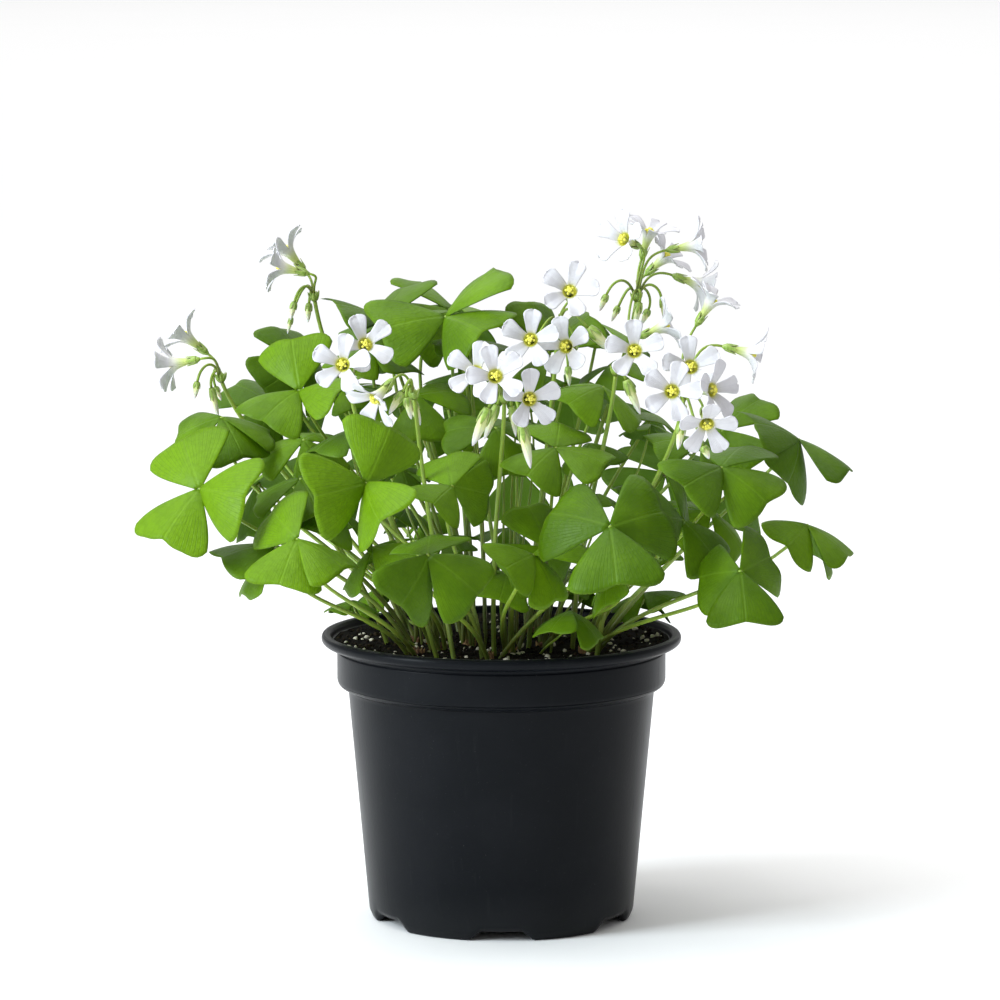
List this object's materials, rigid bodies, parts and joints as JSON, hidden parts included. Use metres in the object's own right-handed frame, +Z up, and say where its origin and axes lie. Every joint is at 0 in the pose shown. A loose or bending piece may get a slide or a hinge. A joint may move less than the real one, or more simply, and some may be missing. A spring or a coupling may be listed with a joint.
{
  "type": "potted oxalis",
  "caption": "White-flowered oxalis with green three-part leaves, growing in a round black plastic nursery pot.",
  "frame": {"origin": "centre of the pot's underside, on the surface it stands on", "axes": "+Z up, -Y toward the side that the picture shows, +X to its right"},
  "size_m": [0.2548, 0.247, 0.2564],
  "materials": {
    "pot_plastic": "thin black injection-moulded plastic with a satin sheen and fine scuffs",
    "potting_soil": "dark crumbly peat with white grains of perlite",
    "leaf": "soft matte green leaflets with faint veins, on olive petioles that redden toward the soil",
    "flower_stalk": "smooth pale green scapes and pedicels, green calyces and pale buds",
    "petal": "thin white petals with a lilac-grey shade and a yellow-green throat"
  },
  "bodies": {
    "root": {"pot": "pot_plastic", "soil": "potting_soil", "leaves_front": "leaf", "leaves_front_left": "leaf", "leaves_front_middle": "leaf", "leaves_right": "leaf", "leaves_inner_left": "leaf", "leaves_inner_right": "leaf", "leaves_left": "leaf", "leaves_top": "leaf", "leaves_top_back": "leaf", "leaves_back_right": "leaf", "leaves_back": "leaf", "leaves_back_left": "leaf", "stalk_far_left": "flower_stalk", "corolla_far_left_1": "petal", "corolla_far_left_2": "petal", "stalk_left": "flower_stalk", "corolla_left_1": "petal", "corolla_left_2": "petal", "stalk_inner_left": "flower_stalk", "corolla_inner_left_1": "petal", "corolla_inner_left_2": "petal", "stalk_front_left": "flower_stalk", "corolla_front_left_1": "petal", "stalk_front": "flower_stalk", "corolla_front_1": "petal", "corolla_front_2": "petal", "corolla_front_3": "petal", "stalk_middle": "flower_stalk", "corolla_middle_1": "petal", "corolla_middle_2": "petal", "corolla_middle_3": "petal", "stalk_inner_right": "flower_stalk", "corolla_inner_right_1": "petal", "stalk_front_right": "flower_stalk", "corolla_front_right_1": "petal", "corolla_front_right_2": "petal", "corolla_front_right_3": "petal", "corolla_front_right_4": "petal", "corolla_front_right_5": "petal", "corolla_front_right_6": "petal", "stalk_right": "flower_stalk", "corolla_right_1": "petal", "corolla_right_2": "petal", "corolla_right_3": "petal", "corolla_right_4": "petal", "corolla_right_5": "petal", "corolla_right_6": "petal"}
  },
  "joints": []
}
